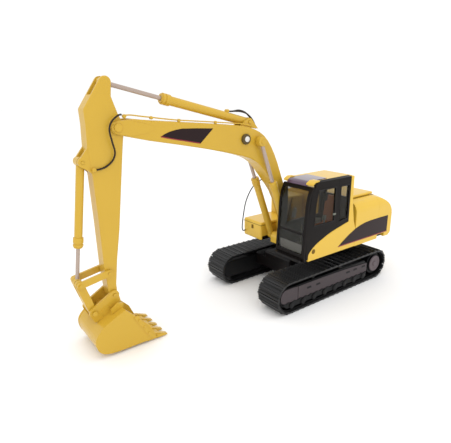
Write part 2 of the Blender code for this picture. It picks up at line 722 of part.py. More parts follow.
def cab_interior():
    """The cab's dark inside in one moulding: floor pan, two lever consoles and the travel levers."""
    y0, y1 = CAB_RIGHT + CAB_WALL + FIT, PANEL_Y - FIT
    pan = box('cab_interior', (CAB_REAR + CAB_WALL + FIT, y0, FLOOR_Z), (18.4, y1, FLOOR_TOP))
    base, top = FLOOR_TOP - 0.3, FLOOR_TOP + CONSOLE_UP
    for side in (-1, 1):
        y = CAB_MID + side * 5.2
        fuse(pan, box('console', (-4.6, y - 1.2, base), (5.0, y + 1.2, top)))
        fuse(pan, disc('lever', LEVER_R, top - 0.4, top + 3.4, (3.8, y), 10, 'Z'))
        fuse(pan, box('grip', (3.1, y - 0.6, top + 3.0), (4.5, y + 0.6, top + 5.2)))
    fuse(pan, box('pedal_block', (10.4, CAB_MID - 2.4, base), (13.4, CAB_MID + 2.4, FLOOR_TOP + 2.0)))
    for side in (-1, 1):
        fuse(pan, disc('travel_lever', 0.4, FLOOR_TOP + 1.6, FLOOR_TOP + 11.0, (12.2, CAB_MID + side * 1.1), 10, 'Z'))
    return place(pan, 'superstructure', 'interior')


def seat():
    """The driver's seat: pedestal, cushion, back and headrest in one moulding."""
    z = FLOOR_TOP + FIT
    x, y = -3.4, CAB_MID
    chair = box('seat', (x - 3.0, y - 3.4, z + 6.0), (x + 5.2, y + 3.4, z + 8.4))
    fuse(chair, box('seat_pedestal', (x - 1.6, y - 2.2, z), (x + 3.2, y + 2.2, z + 6.5)))
    back = [(x - 3.0, z + 6.6), (x - 1.0, z + 6.6), (x - 2.4, z + 19.0), (x - 4.0, z + 19.0)]
    fuse(chair, flat('seat_back', [back], 6.2, 'XZ', y))
    head = [(x - 3.9, z + 18.6), (x - 2.5, z + 18.6), (x - 2.9, z + 22.4), (x - 4.1, z + 22.4)]
    fuse(chair, flat('headrest', [head], 3.6, 'XZ', y))
    return place(chair, 'superstructure', 'interior')


def front_step():
    """The dark stepped ledge under the windscreen."""
    y0, y1 = CAB_RIGHT + 0.2, HOUSE_HALF - 1.6
    back = FRONT[0][0] + FIT + 0.05
    side = [(back, DECK_Z), (22.8, DECK_Z), (22.8, DECK_Z + 1.2), (21.9, DECK_Z + 1.5), (back, DECK_Z + 1.5)]
    ledge = flat('front_step', [side], y1 - y0, 'XZ', (y0 + y1) / 2)
    return place(ledge, 'superstructure', 'black')


def handrail():
    """The bent wire that rises from the storage box and returns to the tank."""
    y = -HOUSE_HALF + 1.2
    rail = tube('handrail', [(BOX_FRONT + FIT, y, 23.8), (17.6, y, 23.6), (18.4, y, 25.6), (17.6, y, 32.0),
                             (15.6, y, 40.0), (11.0, y, 46.8), (4.0, y, 50.2), (-4.0, y, 50.6), (-7.4, y, 48.6),
                             (-8.2, y, 45.0), (-8.2, y, TANK_TOP + FIT)], 0.28)
    return place(rail, 'superstructure', 'wire')


cab_side('cab_door', DOOR_SPLIT + FIT / 2, 30, [DOOR_WINDOW])
cab_side('cab_quarter_frame', -20, DOOR_SPLIT - FIT / 2, [QUARTER_WINDOW])
cab_side_panel()
front_frame()
windscreen('windscreen_upper', UPPER_Z)
windscreen('windscreen_lower', LOWER_Z)
right_wall()
rear_wall()
pane('door_glass', DOOR_WINDOW, 'XZ', HOUSE_HALF - CAB_WALL / 2)
pane('quarter_glass', QUARTER_WINDOW, 'XZ', HOUSE_HALF - CAB_WALL / 2)
pane('right_glass', shrink(*RIGHT_WINDOW, 0), 'XZ', CAB_RIGHT + CAB_WALL / 2)
pane('rear_glass', shrink(*REAR_WINDOW, 0), 'YZ', CAB_REAR + CAB_WALL / 2)
roof()
roof_hatch()
cab_interior()
seat()
front_step()
handrail()


# ---------------------------------------------------------------- boom
BOOM_TOP = smooth([(92.2, 86.2), (87.6, 86.5), (81.4, 85.7), (68.9, 84.5), (55.1, 83.2), (39.9, 81.6), (31.6, 79.6), (25.7, 76.3),
                   (21.4, 71.1), (17.4, 63.4), (13.0, 52.6), (7.0, 40.0), (3.2, 33.0)], 2)
BOOM_LOW = smooth([(8.2, 30.8), (11.8, 40.2), (15.8, 48.7), (20.4, 54.6), (24.8, 60.0), (28.9, 64.2), (34.2, 67.2),
                   (42.8, 69.8), (55.5, 72.9), (69.5, 75.9), (82.0, 78.4), (92.2, 80.9)], 2)


def boom():
    """The cranked box boom: forked at the stick, with an eye at its foot."""
    outline = [*arc(*BOOM_TIP, 2.4, -80, 60, 8), *BOOM_TOP, *arc(*BOOM_FOOT, 2.7, 165, 320, 8), *BOOM_LOW]
    beam = flat('boom', [outline], BOOM_W, 'XZ', ARM_Y)
    ease(beam, 0.35, 1)
    half = BOOM_W / 2
    cut(beam, box('fork_gap', (BOOM_TIP[0] - 6.0, ARM_Y - half + BOOM_EAR, 70), (120, ARM_Y + half - BOOM_EAR, 100)))
    cut(beam, disc('foot_eye', FOOT_PIN_R + PIN_RUN, ARM_Y - 6, ARM_Y + 6, BOOM_FOOT, 20))
    cut(beam, disc('tip_eye', TIP_PIN_R + FIT, ARM_Y - 6, ARM_Y + 6, BOOM_TIP, 20))
    for edge in (-1, 1):
        y0, y1 = sorted((ARM_Y + edge * (half - 0.2), ARM_Y + edge * (half + 0.45)))
        fuse(beam, disc('cylinder_boss', 2.3, y0, y1, BOOM_CYL_EYE, 20))
        y0, y1 = sorted((ARM_Y + edge * 1.95, ARM_Y + edge * 2.9))
        ear = [(28.6, 79.6), (38.6, 80.8), (35.4, 83.6), *arc(*STICK_CYL_FOOT, 1.7, 30, 150, 5)]
        fuse(beam, flat('bracket', [ear], y1 - y0, 'XZ', (y0 + y1) / 2))
    cut(beam, disc('bracket_eye', CYL_PIN_R + FIT, ARM_Y - 3.2, ARM_Y + 3.2, STICK_CYL_FOOT, 16))
    return place(beam, 'boom', 'arm_yellow')


def boom_pin(name, radius, half, at, body='boom'):
    """A plain pin across the arm, held by the body that it belongs to."""
    return place(disc(name, radius, ARM_Y - half, ARM_Y + half, at, 16), body, 'arm_yellow')


def boom_lamp():
    """The round work lamp on the boom's left flank."""
    y = ARM_Y + BOOM_W / 2
    lamp = disc('boom_lamp', 2.0, y + FIT, y + 1.0, (36.8, 75.7), 24)
    return place(lamp, 'boom', 'lamp')


HOSE_R = 0.33
PIPE_R = 0.25
PIPE_Y = ARM_Y + BOOM_W / 2 - BOOM_EAR / 2
PIPE_WAY = [(91.4, 87.9), (88.6, 87.9), (84.6, 87.3), (80.2, 86.7), (76.2, 86.1), (69.0, 85.2), (55.2, 83.9), (40.4, 82.4),
            (35.4, 81.6), (31.4, 80.3)]


def boom_pipe():
    """The oil line along the boom's back, over its left edge."""
    pipe = tube('boom_pipe', [(x, PIPE_Y, z) for x, z in PIPE_WAY], PIPE_R)
    return place(pipe, 'boom', 'hose')


def cylinder_hose(name, y, drop):
    """A black hose from the foot of the stick cylinder, over its pin and down to the boom's back."""
    way = [(42.4, y, 87.35), (39.8, y, 87.35), (36.6, y, 87.1 - drop), (33.2, y, 86.1 - drop), (30.4, y, 83.9 - drop / 2),
           (28.6, y, 81.2), (27.9, y, 79.5)]
    return place(tube(name, way, HOSE_R), 'stick_cylinder', 'hose')


boom()
boom_lamp()
boom_pipe()
cylinder_hose('cylinder_hose_left', ARM_Y + 0.55, 0.0)
cylinder_hose('cylinder_hose_right', ARM_Y - 0.55, -0.5)
boom_pin('stick_pin', TIP_PIN_R, BOOM_W / 2 + 0.4, BOOM_TIP)
boom_pin('stick_cylinder_pin', CYL_PIN_R, 3.3, STICK_CYL_FOOT)


# ---------------------------------------------------------------- cylinders
def barrel(name, foot, eye, y, radius, rod_r, length, eye_half, pin_r, body):
    """A cylinder barrel: an eye at its foot, a tube, and a collar at its mouth."""
    tube_part = bar(name, radius, along(foot, eye, 1.2), along(foot, eye, length), y, 20)
    fuse(tube_part, bar(name + '_collar', radius + 0.2, along(foot, eye, length - 2.6), along(foot, eye, length - 0.3), y, 20))
    fuse(tube_part, disc(name + '_eye', pin_r + 1.15, y - eye_half, y + eye_half, foot, 20))
    cut(tube_part, disc(name + '_pin_hole', pin_r + PIN_RUN, y - 4, y + 4, foot, 16))
    cut(tube_part, bar(name + '_bore', rod_r + 0.1, along(foot, eye, pin_r + 1.9), along(foot, eye, length + 1), y, 16))
    return place(tube_part, body, 'arm_yellow')


def rod(name, foot, eye, y, rod_r, inner, eye_half, eye_r, body, pin_r=None):
    """A bright rod with its eye; it reaches back into the barrel to `inner` from the foot."""
    shaft = bar(name, rod_r, along(foot, eye, inner), along(eye, foot, 0.4), y, 16)
    fuse(shaft, disc(name + '_eye', eye_r, y - eye_half, y + eye_half, eye, 20))
    if pin_r:
        cut(shaft, disc(name + '_pin_hole', pin_r + PIN_RUN, y - 4, y + 4, eye, 16))
    return place(shaft, body, 'rod')


for side, word in ((1, 'left'), (-1, 'right')):
    y = ARM_Y + side * BOOM_CYL_Y
    barrel('boom_cylinder_' + word, BOOM_CYL_FOOT, BOOM_CYL_EYE, y, BOOM_CYL_R, BOOM_ROD_R, BOOM_CYL_LENGTH, 1.15,
           CYL_PIN_R, 'boom_cylinders')
    rod('boom_rod_' + word, BOOM_CYL_FOOT, BOOM_CYL_EYE, y, BOOM_ROD_R, 15.5, 1.2, 1.9, 'boom_rods')

barrel('stick_cylinder', STICK_CYL_FOOT, STICK_CYL_EYE, ARM_Y, STICK_CYL_R, STICK_ROD_R, STICK_CYL_LENGTH, 1.75,
       CYL_PIN_R, 'stick_cylinder')
rod('stick_rod', STICK_CYL_FOOT, STICK_CYL_EYE, ARM_Y, STICK_ROD_R, 21.0, 1.6, 1.6, 'stick_rod')
barrel('bucket_cylinder', BUCKET_CYL_FOOT, GUIDE_PIN, ARM_Y, BUCKET_CYL_R, BUCKET_ROD_R, BUCKET_CYL_LENGTH, 1.5,
       LINK_PIN_R, 'bucket_cylinder')
rod('bucket_rod', BUCKET_CYL_FOOT, GUIDE_PIN, ARM_Y, BUCKET_ROD_R, 15.0, 1.1, 1.3, 'bucket_rod')


# ---------------------------------------------------------------- stick
STICK_OUTLINE = [(104.8, 90.4), *arc(*STICK_CYL_EYE, 2.1, 35, 175, 7), (94.8, 94.3), (92.9, 88.6), (91.7, 86.0),
                 (91.5, 80.7), (92.2, 76.0), (93.9, 63.1), (96.1, 46.7), (98.1, 35.2), (99.4, 25.2),
                 *arc(*BUCKET_PIN, 1.7, 190, 340, 7), (103.4, 32.0), (103.6, 50.0), (104.0, 67.2), (104.9, 76.6),
                 (104.6, 85.5)]


def stick():
    """The box stick: a closed plate box with a forked top and lugs for its cylinder."""
    beam = flat('stick', [STICK_OUTLINE], STICK_W, 'XZ', ARM_Y)
    ease(beam, 0.3, 1)
    gap = [(88, 104), (108, 104), (108, 97.4), (100.4, 94.6), (98.4, 91.4), (88, 91.4)]
    cut(beam, flat('top_gap', [gap], 2 * 1.85, 'XZ', ARM_Y))
    half = STICK_W / 2
    for edge in (-1, 1):
        lug = [(103.6, 68.0), (105.6, 70.0), *arc(*BUCKET_CYL_FOOT, 1.7, -60, 70, 6), (104.6, 78.0), (103.6, 78.0)]
        y = ARM_Y + edge * (1.5 + RUN + 0.57)
        fuse(beam, flat('lug', [lug], 1.0, 'XZ', y))
    cut(beam, disc('lug_eye', LINK_PIN_R + FIT, ARM_Y - 3.2, ARM_Y + 3.2, BUCKET_CYL_FOOT, 16))
    cut(beam, disc('turning_room', 3.4, ARM_Y - 1.5 - RUN, ARM_Y + 1.5 + RUN, BUCKET_CYL_FOOT, 20))
    cut(beam, disc('stick_eye', TIP_PIN_R + PIN_RUN, ARM_Y - 6, ARM_Y + 6, BOOM_TIP, 20))
    cut(beam, disc('bucket_eye', LINK_PIN_R + PIN_RUN, ARM_Y - 6, ARM_Y + 6, BUCKET_PIN, 16))
    cut(beam, disc('guide_eye', LINK_PIN_R + FIT, ARM_Y - 6, ARM_Y + 6, GUIDE_PIVOT, 16))
    return place(beam, 'stick', 'arm_yellow')


def stick_hose():
    """The cord that passes the boom's nose and runs down the stick's left face to the bucket cylinder."""
    clear = ARM_Y + BOOM_W / 2 + RUN + HOSE_R
    face = ARM_Y + STICK_W / 2 + 0.1 + HOSE_R
    way = [(92.4, clear, 88.3), (93.9, clear, 87.9), (96.2, clear, 86.0), (97.2, clear, 83.3), (96.6, clear, 79.2),
           (95.8, clear - 0.3, 75.6), (96.6, face + 0.4, 72.8), (98.9, face, 70.8), (101.6, face, 70.0), (103.4, face, 70.1)]
    return place(tube('stick_hose', way, HOSE_R), 'stick', 'hose')


stick()
stick_hose()
boom_pin('bucket_cylinder_pin', LINK_PIN_R, 2.9, BUCKET_CYL_FOOT, 'stick')
boom_pin('guide_pin', LINK_PIN_R, STICK_W / 2 + 1.5, GUIDE_PIVOT, 'stick')


# ---------------------------------------------------------------- bucket linkage
def guide_link(side, name):
    """One guide bar, with the stub of the cross pin that carries the power link."""
    y = STICK_W / 2 + RUN + 0.5
    way = Vector(GUIDE_PIN) - Vector(GUIDE_PIVOT)
    turn = math.degrees(math.atan2(way.y, way.x))
    shape = [*arc(*GUIDE_PIVOT, 1.25, turn + 90, turn + 270, 8), *arc(*GUIDE_PIN, 1.25, turn - 90, turn + 90, 8)]
    link = flat(name, [shape], 1.0, 'XZ', ARM_Y + side * y)
    y0, y1 = sorted((ARM_Y + side * (FORK_GAP / 2 + 0.1), ARM_Y + side * (y + 1.0)))
    fuse(link, disc(name + '_stub', LINK_PIN_R, y0, y1, GUIDE_PIN, 16))
    cut(link, disc(name + '_eye', LINK_PIN_R + PIN_RUN, ARM_Y - 8, ARM_Y + 8, GUIDE_PIVOT, 16))
    return place(link, 'guide_links', 'arm_yellow')


def power_link():
    """The forked link from the cross pin down to the bucket."""
    y = STICK_W / 2 + RUN - 0.2
    side = Vector(POWER_PIN) - Vector(GUIDE_PIN)
    turn = math.degrees(math.atan2(side.y, side.x))
    shape = [*arc(*GUIDE_PIN, 1.45, turn + 90, turn + 270, 8), *arc(*POWER_PIN, 1.45, turn - 90, turn + 90, 8)]
    link = flat('power_link', [shape], 2 * y, 'XZ', ARM_Y)
    cut(link, disc('rod_room', 6.4, ARM_Y - FORK_GAP / 2, ARM_Y + FORK_GAP / 2, GUIDE_PIN, 20))
    cut(link, disc('cross_eye', LINK_PIN_R + PIN_RUN, ARM_Y - 6, ARM_Y + 6, GUIDE_PIN, 16))
    ease(link, 0.2, 1)
    return place(link, 'power_link', 'arm_yellow')


guide_link(1, 'guide_link_left')
guide_link(-1, 'guide_link_right')
power_link()


# ---------------------------------------------------------------- bucket
SHELL = smooth([(99.6, 17.2), (104.6, 14.9), (108.6, 12.6), (111.4, 9.6), (111.8, 6.6), (110.6, 3.4), (107.8, 1.7), (103.6, 1.2)], 3)
LIP_X = 87.6
LIP = [(94.0, 1.2), (LIP_X, 1.1)]
CHEEK_EDGE = [(90.4, 7.6)]


def bucket():
    """The bucket: a bent shell between two side plates, open to the rear and up."""
    outer = [*SHELL, *LIP]
    shell = flat('bucket', [strip(outer, -BUCKET_WALL)], BUCKET_W - BUCKET_WALL, 'XZ', ARM_Y)
    side = inset([*SHELL, *LIP, *CHEEK_EDGE], -0.12)
    for edge in (-1, 1):
        fuse(shell, flat('side_plate', [side], BUCKET_WALL, 'XZ', ARM_Y + edge * (BUCKET_W - BUCKET_WALL) / 2))
    inner = STICK_W / 2 + RUN
    ear = [(98.6, 17.6), *arc(*BUCKET_PIN, 1.8, 200, 60, 7), *arc(*POWER_PIN, 1.9, 60, -20, 5), (109.4, 12.6), (104.6, 14.7), (99.6, 17.0)]
    for edge in (-1, 1):
        fuse(shell, flat('ear', [ear], 1.0, 'XZ', ARM_Y + edge * (inner + 0.5)))
    cut(shell, disc('pin_hole', LINK_PIN_R + FIT, ARM_Y - 8, ARM_Y + 8, BUCKET_PIN, 16))
    cut(shell, disc('link_hole', LINK_PIN_R + FIT, ARM_Y - 8, ARM_Y + 8, POWER_PIN, 16))
    return place(shell, 'bucket', 'arm_yellow')


def bucket_teeth():
    """The cutting edge and its five teeth."""
    rear = LIP_X - 0.12 - FIT
    pitch = (BUCKET_W - 2.2) / (TEETH - 1)
    edge = flat('bucket_teeth', [[(rear, 0.7), (rear, 2.3), (85.8, 1.9), (85.4, 0.7)]], BUCKET_W, 'XZ', ARM_Y)
    for i in range(TEETH):
        y = ARM_Y - BUCKET_W / 2 + 1.1 + i * pitch
        tooth = [(rear, 0.5), (rear, 2.5), (86.0, 2.3), (82.7, 0.9), (82.7, 0.5)]
        fuse(edge, flat(f'tooth_{i}', [tooth], 1.7, 'XZ', y))
    return place(edge, 'bucket', 'arm_yellow')


bucket()
bucket_teeth()
boom_pin('bucket_pin', LINK_PIN_R, STICK_W / 2 + RUN + 1.4, BUCKET_PIN, 'bucket')

# ---------------------------------------------------------------- frame
bpy.context.view_layer.update()
graph = bpy.context.evaluated_depsgraph_get()
corners = [obj.matrix_world @ Vector(corner) for obj in model.objects if obj.type == 'MESH'
           for corner in obj.evaluated_get(graph).bound_box]
low, high = np.min(corners, axis=0), np.max(corners, axis=0)
empties['undercarriage'].location = (-(low[0] + high[0]) / 2, -(low[1] + high[1]) / 2, -low[2])
bpy.context.view_layer.update()
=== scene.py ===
import json
import math

import bmesh
import bpy
import numpy as np
from mathutils import Matrix, Vector


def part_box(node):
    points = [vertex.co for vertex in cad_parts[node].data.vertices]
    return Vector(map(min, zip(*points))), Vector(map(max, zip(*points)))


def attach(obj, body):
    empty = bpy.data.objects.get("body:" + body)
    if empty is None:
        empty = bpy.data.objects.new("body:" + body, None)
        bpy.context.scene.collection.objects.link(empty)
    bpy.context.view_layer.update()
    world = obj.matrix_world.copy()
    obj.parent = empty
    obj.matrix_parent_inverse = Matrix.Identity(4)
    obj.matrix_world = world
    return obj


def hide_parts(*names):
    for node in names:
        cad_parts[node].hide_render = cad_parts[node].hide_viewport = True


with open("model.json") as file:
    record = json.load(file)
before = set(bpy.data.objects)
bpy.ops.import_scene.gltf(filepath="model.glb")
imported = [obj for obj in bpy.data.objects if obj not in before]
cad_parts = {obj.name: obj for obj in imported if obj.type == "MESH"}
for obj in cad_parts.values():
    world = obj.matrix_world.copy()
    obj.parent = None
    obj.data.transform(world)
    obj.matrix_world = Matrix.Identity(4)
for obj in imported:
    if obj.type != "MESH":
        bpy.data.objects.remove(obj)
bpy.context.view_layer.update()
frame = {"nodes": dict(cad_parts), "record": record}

# ---------------------------------------------------------------- studio
# A white table in a bright even room, with one broad panel overhead, a second beside the camera for the
# gloss and a weak one in front. The camera stands close to the model, at its front left, a little above it.
MM = 0.001
slew_low, slew_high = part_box("slew_ring")
SLEW = (slew_low + slew_high) / 2
LENS = 33.45
CAMERA_AT = (151.98, 144.38, 95.32)
CAMERA_RIGHT = (-0.80481, 0.59338, -0.01360)
CAMERA_UP = (-0.18607, -0.23048, 0.95512)
CAMERA_BACK = (0.56362, 0.77122, 0.29591)


def at(x, y, z):
    """A place in metres from millimetres ahead of the slewing axis, to its left and above the ground."""
    return Vector((SLEW.x + x * MM, SLEW.y + y * MM, z * MM))


camera = bpy.data.objects.new("camera", bpy.data.cameras.new("camera"))
camera.data.lens = LENS
camera.data.clip_start = 0.005
camera.data.clip_end = 10.0
turn = Matrix((CAMERA_RIGHT, CAMERA_UP, CAMERA_BACK)).transposed().to_4x4()
camera.matrix_world = Matrix.Translation(at(*CAMERA_AT)) @ turn
bpy.context.scene.collection.objects.link(camera)
bpy.context.scene.camera = camera


def panel_light(name, place, target, size, power):
    """A square soft light at a place, turned to face its target."""
    light = bpy.data.lights.new(name, "AREA")
    light.size = size
    light.energy = power
    panel = bpy.data.objects.new(name, light)
    panel.location = place
    panel.rotation_euler = (Vector(target) - Vector(place)).to_track_quat("-Z", "Y").to_euler()
    bpy.context.scene.collection.objects.link(panel)


panel_light("overhead", (0.05, 0.1, 0.75), (0, 0, 0.03), 0.7, 1.15)
panel_light("beside_camera", (0.25, 0.75, 0.42), (-0.02, 0, 0.04), 0.5, 0.75)
panel_light("front", (0.8, -0.05, 0.3), (0, 0, 0.03), 0.4, 0.15)

ROOM_LIGHT = 1.04
room = bpy.data.worlds.new("room")
bpy.context.scene.world = room
room.use_nodes = True
room.node_tree.nodes["Background"].inputs["Color"].default_value = (1.0, 1.0, 1.0, 1.0)
room.node_tree.nodes["Background"].inputs["Strength"].default_value = ROOM_LIGHT
bpy.context.scene.view_settings.view_transform = "Standard"

REACH = 3.0
floor_corners = [(-REACH, -REACH, 0), (REACH, -REACH, 0), (REACH, REACH, 0), (-REACH, REACH, 0)]
floor_mesh = bpy.data.meshes.new("floor")
floor_mesh.from_pydata(floor_corners, [], [(0, 1, 2, 3)])
floor = bpy.data.objects.new("floor", floor_mesh)
bpy.context.scene.collection.objects.link(floor)


class Shade:
    """A value in a material's graph. Sums, differences and products of it add Math nodes."""

    def __init__(self, tree, socket=None):
        self.tree, self.socket = tree, socket

    def node(self, kind, inputs, output=0, **settings):
        """Adds one node: its settings first, then its inputs by name or number."""
        node = self.tree.nodes.new("ShaderNode" + kind)
        for name, setting in settings.items():
            setattr(node, name, setting)
        for key, value in inputs.items():
            if isinstance(value, Shade):
                self.tree.links.new(value.socket, node.inputs[key])
            else:
                node.inputs[key].default_value = value
        return Shade(self.tree, node.outputs[output])

    def maths(self, operation, first, second):
        return self.node("Math", {0: first, 1: second}, operation=operation)

    def __add__(self, other):
        return self.maths("ADD", self, other)

    def __sub__(self, other):
        return self.maths("SUBTRACT", self, other)

    def __rsub__(self, other):
        return self.maths("SUBTRACT", other, self)

    def __mul__(self, other):
        return self.maths("MULTIPLY", self, other)

    __radd__, __rmul__ = __add__, __mul__


def material(name, colour, roughness, **constants):
    """A new material: its Principled shader with plain values, and a Shade to grow its graph from."""
    made = bpy.data.materials.new(name)
    made.use_nodes = True
    shader = made.node_tree.nodes["Principled BSDF"]
    shader.inputs["Base Color"].default_value = (*colour, 1.0)
    shader.inputs["Roughness"].default_value = roughness
    for key, value in constants.items():
        shader.inputs[key.replace("_", " ")].default_value = value
    return made, shader, Shade(made.node_tree)


floor_paint, _, _ = material("floor_paint", (0.98, 0.98, 0.98), 0.9)
floor.data.materials.append(floor_paint)


# ---------------------------------------------------------------- undercarriage
# Two long side frames and a centre frame, cast in one dark satin plastic. Each side frame is a plate with a
# separate front block, a scalloped guard over its rollers and the bosses of the rollers below.
GAUGE = 40.3
PLATE_Y = 25.45
AXLE_Z = 7.9
REAR_X = -31.5
SIDES = ((1, "left"), (-1, "right"))


def cloudy(made, shader, graph, colour, dark, grain, depth, roughness, spread):
    """Lets a finish vary: a soft shift between two colours, an uneven gloss and a fine relief."""
    cloud_scale, relief_height = 60.0, 0.00005
    place = graph.node("TexCoord", {}, output="Object")
    cloud = graph.node("TexNoise", {"Vector": place, "Scale": cloud_scale, "Detail": 3.0})
    fine = graph.node("TexNoise", {"Vector": place, "Scale": grain, "Detail": 2.0})
    shades = {"Factor": cloud, "A": (*dark, 1.0), "B": (*colour, 1.0)}
    tint = graph.node("Mix", shades, output=2, data_type="RGBA")
    made.node_tree.links.new(tint.socket, shader.inputs["Base Color"])
    gloss = roughness + (cloud - 0.5) * spread
    made.node_tree.links.new(gloss.socket, shader.inputs["Roughness"])
    relief = graph.node("Bump", {"Height": fine, "Strength": depth, "Distance": relief_height})
    made.node_tree.links.new(relief.socket, shader.inputs["Normal"])
    return made


def moulded(name, colour, dark, roughness):
    """Injection-moulded plastic with a slight grain."""
    parts = material(name, colour, roughness, Specular_IOR_Level=0.2)
    return cloudy(*parts, colour, dark, 5000.0, 0.25, roughness, 0.15)


plate_brown = moulded("plate_brown", (0.066, 0.052, 0.056), (0.052, 0.041, 0.044), 0.42)
hub_grey = moulded("hub_grey", (0.125, 0.098, 0.106), (0.10, 0.078, 0.085), 0.42)
frame_black = moulded("frame_black", (0.007, 0.0055, 0.0055), (0.004, 0.003, 0.003), 0.35)
track_black = moulded("track_black", (0.0045, 0.0045, 0.005), (0.003, 0.003, 0.0035), 0.42)
shoe_parts = material("shoe_black", (0.0045, 0.0045, 0.005), 0.3, Specular_IOR_Level=0.45)
shoe_black = cloudy(*shoe_parts, (0.0045, 0.0045, 0.005), (0.003, 0.003, 0.0035), 4000.0, 0.2, 0.3, 0.2)


def dress(finish, *names):
    """Gives CAD nodes their finish."""
    for name in names:
        piece = frame["nodes"][name]
        piece.data.materials.clear()
        piece.data.materials.append(finish)


dress(frame_black, "carbody", "slew_ring")
dress(track_black, "track_frame_left", "track_frame_right", "drive_wheel_left", "drive_wheel_right")


def skin(name, lines, finish, body, ring=False):
    """A closed surface over points lines[copy, round, along], in millimetres from the slewing axis: quads
    join each point to its neighbours round and along, and the two ends are capped unless the way is a ring."""
    lines = np.asarray(lines, float)
    lines = lines.reshape(-1, *lines.shape[-3:])
    index = np.arange(lines[..., 0].size).reshape(lines.shape[:3])
    if ring:
        index = np.concatenate((index, index[:, :, :1]), axis=2)
    beside = np.roll(index, -1, axis=1)
    quads = np.stack((index[..., :-1], beside[..., :-1], beside[..., 1:], index[..., 1:]), axis=-1)
    faces = quads.reshape(-1, 4).tolist()
    if not ring:
        faces += index[:, ::-1, 0].tolist() + index[:, :, -1].tolist()
    points = lines.reshape(-1, 3) * MM + (SLEW.x, SLEW.y, 0.0)
    mesh = bpy.data.meshes.new(name)
    mesh.from_pydata(points.tolist(), [], faces)
    work = bmesh.new()
    work.from_mesh(mesh)
    bmesh.ops.remove_doubles(work, verts=work.verts, dist=1e-7)
    bmesh.ops.recalc_face_normals(work, faces=work.faces)
    work.to_mesh(mesh)
    work.free()
    mesh.shade_smooth()
    mesh.set_sharp_from_angle(angle=math.radians(35))
    mesh.materials.append(finish)
    piece = bpy.data.objects.new(name, mesh)
    bpy.context.scene.collection.objects.link(piece)
    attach(piece, body)
    return piece


def upright(points, y):
    """Points (x, z) stood in the upright plane at y."""
    x, z = np.moveaxis(np.asarray(points, float), -1, 0)
    return np.stack((x, np.full_like(x, y), z), axis=-1)


def slab(name, low, high, push, finish, body):
    """A plate between two lines of the same count: its section is low, high, high + push, low + push."""
    low, high, push = np.asarray(low, float), np.asarray(high, float), np.asarray(push, float)
    return skin(name, np.stack((low, high, high + push, low + push), axis=-3), finish, body)


def turned(name, centres, profile, finish, body, steps=32):
    """A profile of (radius r, y) carried round a level axis: (x + r cos t, y, z + r sin t) about each of
    the centres (x, z)."""
    t = np.linspace(0, 2 * np.pi, steps, endpoint=False)[:, None]
    r, y = np.asarray(profile, float).T
    ring = np.stack((r * np.cos(t), np.broadcast_to(y, (steps, y.size)), r * np.sin(t)), axis=-1)
    middle = upright(centres, 0.0).reshape(-1, 1, 1, 3)
    return skin(name, middle + ring, finish, body)


SCALLOP = 3.7
scallop_x = np.linspace(-24.0, 34.6, 118)
scallop = np.stack((scallop_x, 4.9 + 0.7 * np.abs(np.sin(np.pi * scallop_x / SCALLOP))), axis=-1)
scallop_foot = np.stack((scallop_x, 2.9 + np.clip(scallop_x - 32.6, 0, 2) * 0.9), axis=-1)
plate_foot = [(-24.6, 5.3), (-8, 5.3), (10, 5.3), (25.2, 5.3)]
plate_head = [(-24.6, 9.9), (-8, 10.9), (10, 11.4), (25.2, 11.5)]
block_foot = [(25.6, 5.2), (30, 5.2), (33.6, 5.2), (35.2, 6.0), (36.0, 7.3)]
block_head = [(25.6, 11.6), (30, 11.9), (33.6, 11.9), (35.2, 10.9), (36.0, 9.2)]
ROLLER_R = 1.45
ROLLERS = 8
roller_at = np.stack((np.linspace(-21.5, 29.6, ROLLERS), np.full(ROLLERS, 3.7)), axis=-1)
slots = np.array([(18.2, 9.1), (12.1, 9.0), (-9.6, 8.9), (-15.3, 8.9), (-21.9, 8.8)])
slot_reach = np.array([[-1.5, 0.0], [-0.7, 0.0], [0.5, 0.0], [1.3, 0.0]])
carrier_profile = [(0, 16.5), (1.0, 16.5), (1.0, 24.6), (0.5, 24.9), (0, 24.9)]
hub_profile = [(0, 25.0), (4.25, 25.0), (4.25, 25.6), (4.0, 25.85), (3.2, 25.85), (3.0, 25.7), (1.5, 25.7),
               (1.3, 26.1), (0, 26.15)]
for side, word in SIDES:
    y, out = side * PLATE_Y, np.array((0, side * 0.3, 0))
    slab(f"frame_plate_{word}", upright(plate_foot, y), upright(plate_head, y), out,
         plate_brown, "undercarriage")
    slab(f"front_block_{word}", upright(block_foot, y), upright(block_head, y), out * 1.2,
         plate_brown, "undercarriage")
    slab(f"roller_guard_{word}", upright(scallop_foot, y), upright(scallop, y), out * 2,
         track_black, "undercarriage")
    roller = [(0, y), (ROLLER_R, y), (ROLLER_R, y + side * 0.9), (0.6, y + side * 1.05), (0, y + side * 1.05)]
    turned(f"rollers_{word}", roller_at, roller, track_black, "undercarriage", 24)
    slot_y = y + side * 0.2
    low = upright(slots[:, None] + slot_reach - (0, 0.45), slot_y)
    high = upright(slots[:, None] + slot_reach * (0.9, 1) + (0.2, 0.45), slot_y)
    slab(f"frame_slots_{word}", low, high, out * 0.6, track_black, "undercarriage")
    turned(f"carrier_roller_{word}", [(-4.6, 12.7), (14.5, 12.7)],
           [(r, side * reach) for r, reach in carrier_profile], track_black, "undercarriage", 20)
    turned(f"hub_cover_{word}", [(REAR_X, AXLE_Z)], [(r, side * reach) for r, reach in hub_profile],
           hub_grey, "undercarriage")


# ---------------------------------------------------------------- tracks
# An endless belt of fifty shoes, moulded in one black plastic. Each shoe is a flat plate with one high grouser
# and two low ribs, held on an inner band; the gaps between the shoes show as fine cross lines.
PITCH_R = 7.45
RUN = 62.6
HALF = math.pi * PITCH_R
SHOES = 50
SHOE_HALF = 6.65


